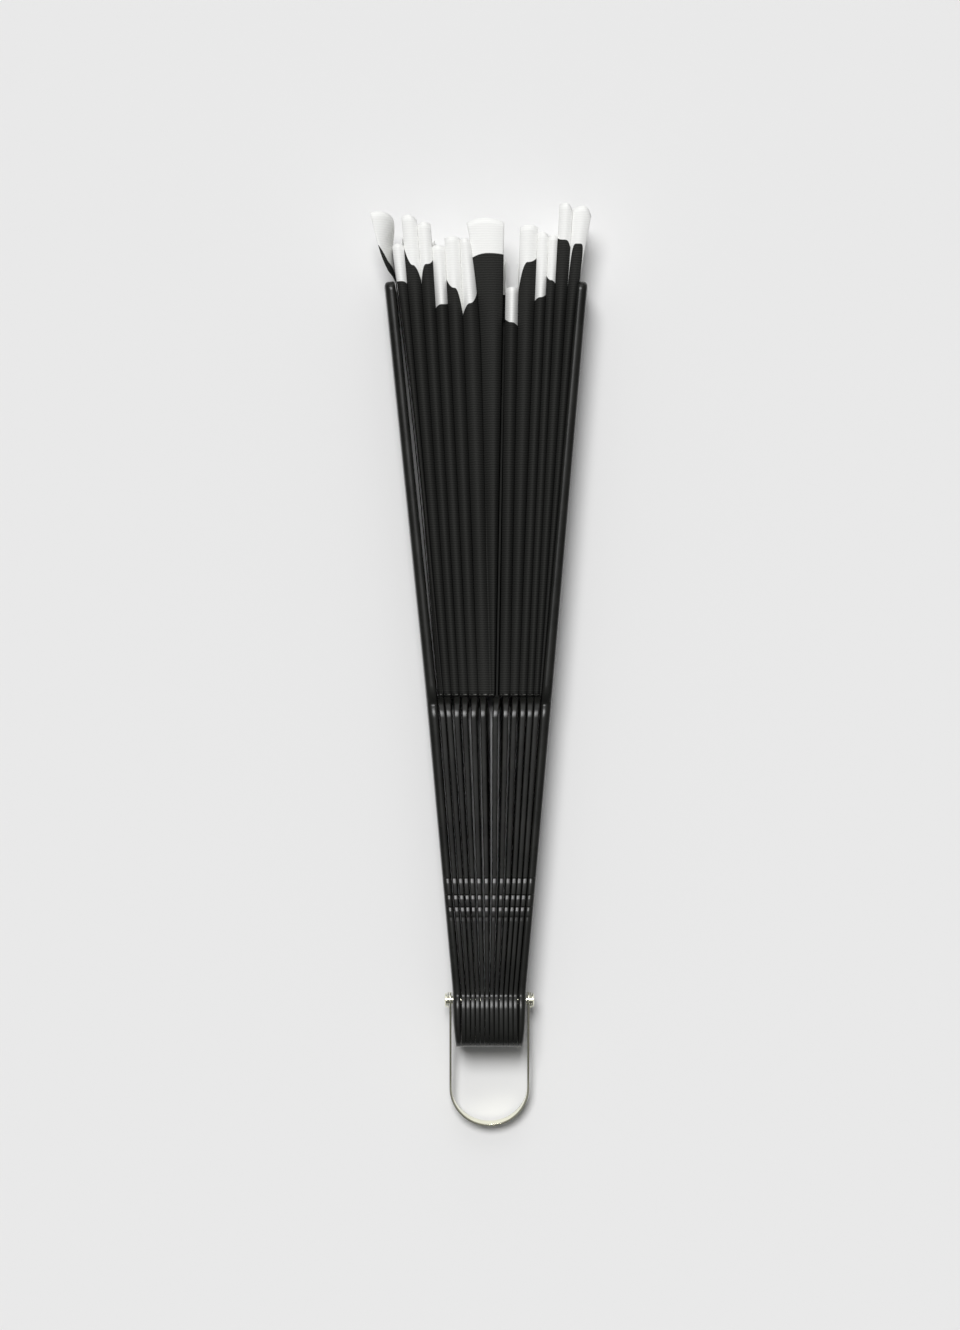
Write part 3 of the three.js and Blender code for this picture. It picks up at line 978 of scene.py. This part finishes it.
# How far out a column ends, and where its white border starts
def columnEnds(fold, kind, t):
    tops, middles = foldTops, borderMiddles
    before, after = max(0, fold - 2), min(foldCount - 1, fold)
    top, middle = tops[fold - 1], middles[fold - 1]
    edges, squareness = [tipReach + b for b in borders[fold - 1][:3]], borders[fold - 1][3]
    drops = list(endDrops[fold - 1])
    valleyTops = [(tops[before] + top) / 2, (tops[after] + top) / 2]
    valleyEdges = [(middles[before] + middle) / 2, (middles[after] + middle) / 2]
    if fold != cup:
        for pair in (edges, drops, valleyTops, valleyEdges):
            pair.reverse()
    if kind == "lobe":
        drop = drops[0] * (1 - 2 * t) ** 2 if t < 0.5 else drops[1] * (2 * t - 1) ** 2
        outer = edges[0] if t < 0.5 else edges[2]
        return top - drop, edges[1] + (outer - edges[1]) * abs(2 * t - 1) ** squareness
    side = 0 if kind in ("loop", "rise") else 1
    share = {"loop": 0, "rise": float(smoothShare(t)), "fall": float(smoothShare(1 - t)), "endLoop": 0}[kind]
    lobeTop, lobeEdge = top - drops[side], edges[2 * side]
    return (valleyTops[side] + (lobeTop - valleyTops[side]) * share,
            valleyEdges[side] + (lobeEdge - valleyEdges[side]) * share)


# A lobe is rounded across and uneven along its length
def lobeShape(fold, y, t, left, right, roof, depth):
    peak = leaf["cupPeak"] if fold == cup else 0.5
    across = (t - peak) / (peak if t < peak else 1 - peak)
    window = math.sin(math.pi * t)
    foldStep, alongStep, acrossStep = leaf["waveSteps"]
    wave = np.array([noise.noise(Vector((fold * foldStep, v * alongStep, t * acrossStep))) for v in y])
    return (left + (right - left) * t,
            roof - depth * abs(across) ** leaf["lobePower"] + window * wave * leaf["waveDepth"])


def loopShape(stickX, floor, turn):
    beside = leaf["besideStick"]
    return stickX + beside * math.cos(turn), floor - beside * math.sin(turn) * leaf["loopHeight"]


def makeFoldGrid(fold):
    columns = foldColumns(fold)
    shares = np.linspace(0, 1, leaf["rows"])
    points = np.zeros((len(shares), len(columns), 3))
    above = np.zeros((len(shares), len(columns)))
    beside = leaf["besideStick"]
    for j, (kind, t) in enumerate(columns):
        end, edge = columnEnds(fold, kind, t)
        y = leaf["start"] + (end - leaf["start"]) * shares
        half = leaf["halfSlope"] * y
        floor, roof = leaf["rise"] - half, leaf["rise"] + half
        stickX, freeEdge = risingSide(fold, y)
        fallTop, foot = fallingSide(fold, y)
        depth = np.minimum((fallTop - freeEdge) * leaf["lobeDepth"], leaf["deepestLobe"])
        depth = np.minimum(depth, roof - leaf["aboveSlip"] - leaf["slipRoom"])
        flatter = smoothShare((y - leaf["flatterStart"]) / leaf["flatterLength"])
        depth = depth * (1 - leaf["flatterBy"] * flatter)
        lobeFoot = roof - depth
        if kind == "loop":
            x, z = loopShape(stickX, floor, math.pi * (1 - t))
        elif kind == "rise":
            z = floor + (lobeFoot - floor) * t
            bend = np.minimum(leaf["aboveSlip"], lobeFoot - leaf["bendRoom"])
            x = stickX + beside + (freeEdge - stickX - beside) * smoothShare((z - bend) / (lobeFoot - bend))
        elif kind == "lobe":
            x, z = lobeShape(fold, y, t, freeEdge, fallTop, roof, depth)
        elif kind == "fall":
            x, z = fallTop + (foot - fallTop) * t, lobeFoot + (floor - lobeFoot) * t
        else:
            x, z = loopShape(foot + beside, floor, math.pi * (1 - t))
        points[:, j, 0] = x if fold == cup else -x
        points[:, j, 1] = y
        points[:, j, 2] = z
        above[:, j] = y - edge
    if fold != cup:
        points, above = points[:, ::-1], above[:, ::-1]
    return points, above


# Makes a grid of points a sheet of cloth, with a flat UV map, and tells its area
def addSheet(name, points, above):
    rows, columns = points.shape[:2]
    flat = (points.reshape(-1, 3) * mm) + np.array(rivetCentre)
    index = np.arange(rows * columns).reshape(rows, columns)
    quads = np.stack([index[:-1, :-1], index[:-1, 1:], index[1:, 1:], index[1:, :-1]], -1).reshape(-1, 4)
    mesh = bpy.data.meshes.new(name)
    mesh.from_pydata(flat.tolist(), [], quads.tolist())
    steps = np.linalg.norm(np.diff(points, axis=1), axis=2)
    arc = np.concatenate([np.zeros((rows, 1)), np.cumsum(steps, axis=1)], axis=1) * mm
    uv = np.stack([arc.ravel(), points[:, :, 1].ravel() * mm], -1)
    layer = mesh.uv_layers.new(name="flatCloth")
    loops = np.empty(len(mesh.loops), np.int32)
    mesh.loops.foreach_get("vertex_index", loops)
    layer.data.foreach_set("uv", uv[loops].astype(np.float32).ravel())
    attribute = mesh.attributes.new("aboveBorder", "FLOAT", "POINT")
    attribute.data.foreach_set("value", (above.ravel() * mm).astype(np.float32))
    mesh.polygons.foreach_set("use_smooth", [True] * len(mesh.polygons))
    mesh.update()
    piece = bpy.data.objects.new(name, mesh)
    bpy.context.scene.collection.objects.link(piece)
    wall = piece.modifiers.new("clothThickness", "SOLIDIFY")
    wall.thickness = leaf["thickness"] * mm
    wall.offset = 0
    piece.data.materials.append(cloth)
    return piece, float((steps[:-1].sum(axis=1) * np.diff(points[:, 0, 1])).sum())


# Works out the share of a fold's turn from one stick's body to the next along its falling side: 0 in the
# plane through that side's upper edge and 1 in the one through its foot. The share is not given to the fold,
# which is only baked into place.
def blendFold(piece, fold):
    near, far = 100.0, 200.0  # two places that give each straight line
    upper, foot = (line.tolist() for line in fallingSide(fold, np.array([near, far])))
    upperSlope, footSlope = (upper[1] - upper[0]) / (far - near), (foot[1] - foot[0]) / (far - near)
    upperStart, footStart = upper[0] - near * upperSlope, foot[0] - near * footSlope
    # the share is a x + b y + c z + d
    slope = leaf["halfSlope"]
    a = 1 / (footStart - upperStart)
    c = a * (footSlope - upperSlope) / (2 * slope)
    b = -a * upperSlope - c * slope
    d = -a * upperStart - c * leaf["rise"]
    gradient = Vector((a, b, c))
    start = -d / gradient.length_squared * gradient
    end = start + gradient / gradient.length_squared
    if fold != cup:
        start.x, end.x = -start.x, -end.x
    rivetCentre + start * mm
    rivetCentre + end * mm
    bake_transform(piece)


def makeLeaf():
    for fold in range(1, foldCount + 1):
        points, above = makeFoldGrid(fold)
        piece, area = addSheet(f"leafFold{fold:02d}", points, above)
        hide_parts(f"leaf_fold_{fold:02d}")
        blendFold(piece, fold)
        length = (points[-1, :, 1].max() - leaf["start"]) * mm
        width = area * mm * mm / length


# The flap stands beside the left guard and curls out over its tip.
# There its lower part is cut back, and its border's edge is given at four shares of its height.
flap = {
    "start": 92.7,
    "besideGuard": 0.42,
    "lean": 5.6,
    "curlStart": 1.2,
    "cutBack": 1.6,
    "setBack": 1.4,
    "setBackEnd": 0.25,
    "widenStart": 9.5,
    "widenLength": 8,
    "widen": 1.3,
    "endRoom": 0.3,
    "endDrop": 3.2,
    "endPeak": 0.75,
    "endPower": 1.5,
    "borderShares": (0, 0.4, 0.75, 1),
    "borders": (2.6, 4.6, 6.2, 10.8),
    "columns": 16,
}


def makeFlap():
    top = fanBox("leaf_end_flap")[1].y
    line = guardFace(-1)
    rowShares = np.linspace(0, 1, leaf["rows"])
    shares = np.linspace(0, 1, flap["columns"])
    points = np.zeros((len(rowShares), len(shares), 3))
    above = np.zeros(points.shape[:2])
    curlStart = tipReach + flap["curlStart"]
    for j, share in enumerate(shares):
        end = top - flap["endRoom"] - flap["endDrop"] * abs(share - flap["endPeak"]) ** flap["endPower"]
        y = flap["start"] + (end - flap["start"]) * rowShares
        half = leaf["halfSlope"] * y
        lift = np.clip((y - curlStart) / (top - curlStart), 0, 1)
        lean = flap["lean"] * np.sqrt(lift) * share ** 2
        # clear of the first fold's lobe the flap also grows to the right
        widened = smoothShare((y - tipReach - flap["widenStart"]) / flap["widenLength"])
        growth = widened * flap["widen"] * (1 - share)
        points[:, j, 0] = splayAt(line, y) + flap["besideGuard"] - lean + growth
        points[:, j, 1] = y
        lower = leaf["rise"] - half * (1 - flap["cutBack"] * lift)
        upper = leaf["rise"] + half - flap["setBack"] * (1 - smoothShare(lift / flap["setBackEnd"]))
        height = share + lift * share * (1 - share)
        points[:, j, 2] = lower + (upper - lower) * height
        above[:, j] = y - tipReach - np.interp(share, flap["borderShares"], flap["borders"])
    piece, area = addSheet("leafEndFlap", points, above)
    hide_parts("leaf_end_flap")
    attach(piece, "left_guard")


makeLeaf()
makeFlap()
print("fan: leaf made")


# Floor, light and camera

room = {
    "floorColour": (0.82, 0.82, 0.82, 1),
    "floorRoughness": 0.9,
    "floorSpecular": 0.1,
    "floorSize": 6.0,
    "worldColour": (1, 1, 1, 1),
    "worldStrength": 0.13,
}


def makeRoom():
    clearSelection()
    bpy.ops.mesh.primitive_plane_add(size=room["floorSize"], location=(0, 0, 0))
    floor = bpy.context.object
    floor.name = "floor"
    material, wire = newMaterial("paleFloor")
    finishMaterial(wire, {}, {"Base Color": room["floorColour"], "Roughness": room["floorRoughness"],
                              "Specular IOR Level": room["floorSpecular"]})
    floor.data.materials.append(material)
    world = bpy.data.worlds.new("paleRoom")
    bpy.context.scene.world = world
    world.use_nodes = True
    background = world.node_tree.nodes["Background"]
    background.inputs["Color"].default_value = room["worldColour"]
    background.inputs["Strength"].default_value = room["worldStrength"]


# each light is (name, direction it comes from, strength, how wide it looks in degrees)
suns = (
    ("keyLight", (-0.12, 0.38, 1.0), 2.55, 22),
    ("windowLight", (0.0, 1.6, 1.0), 0.46, 38),
    ("ceilingLight", (0.05, 0.0, 1.0), 0.1, 60),
)


def makeLights():
    for name, direction, strength, spread in suns:
        data = bpy.data.lights.new(name, "SUN")
        data.energy = strength
        data.angle = math.radians(spread)
        lamp = bpy.data.objects.new(name, data)
        lamp.rotation_euler = Vector(direction).to_track_quat("Z", "Y").to_euler()
        lamp.location = Vector(direction)
        bpy.context.scene.collection.objects.link(lamp)


# The photograph is 1330 pixels tall and its pixel is 0.3003 mm at the sticks' upper edges
photo = {
    "height": 1330,
    "pixel": 0.3003,
    "middleX": -2.85,
    "middleY": 101.5,
    "planeZ": 10.0,
    "lens": 100.0,
    "sensor": 36.0,
    "clip": (0.05, 20),
}


def makeCamera():
    data = bpy.data.cameras.new("camera")
    data.lens = photo["lens"]
    data.sensor_width = photo["sensor"]
    data.clip_start, data.clip_end = photo["clip"]
    distance = photo["height"] * photo["pixel"] * photo["lens"] / photo["sensor"]
    place = Vector((photo["middleX"], photo["middleY"], photo["planeZ"] + distance))
    camera = bpy.data.objects.new("camera", data)
    camera.location = rivetCentre + place * mm
    bpy.context.scene.collection.objects.link(camera)
    bpy.context.scene.camera = camera


makeRoom()
makeLights()
makeCamera()
print("fan: floor, lights and camera made")
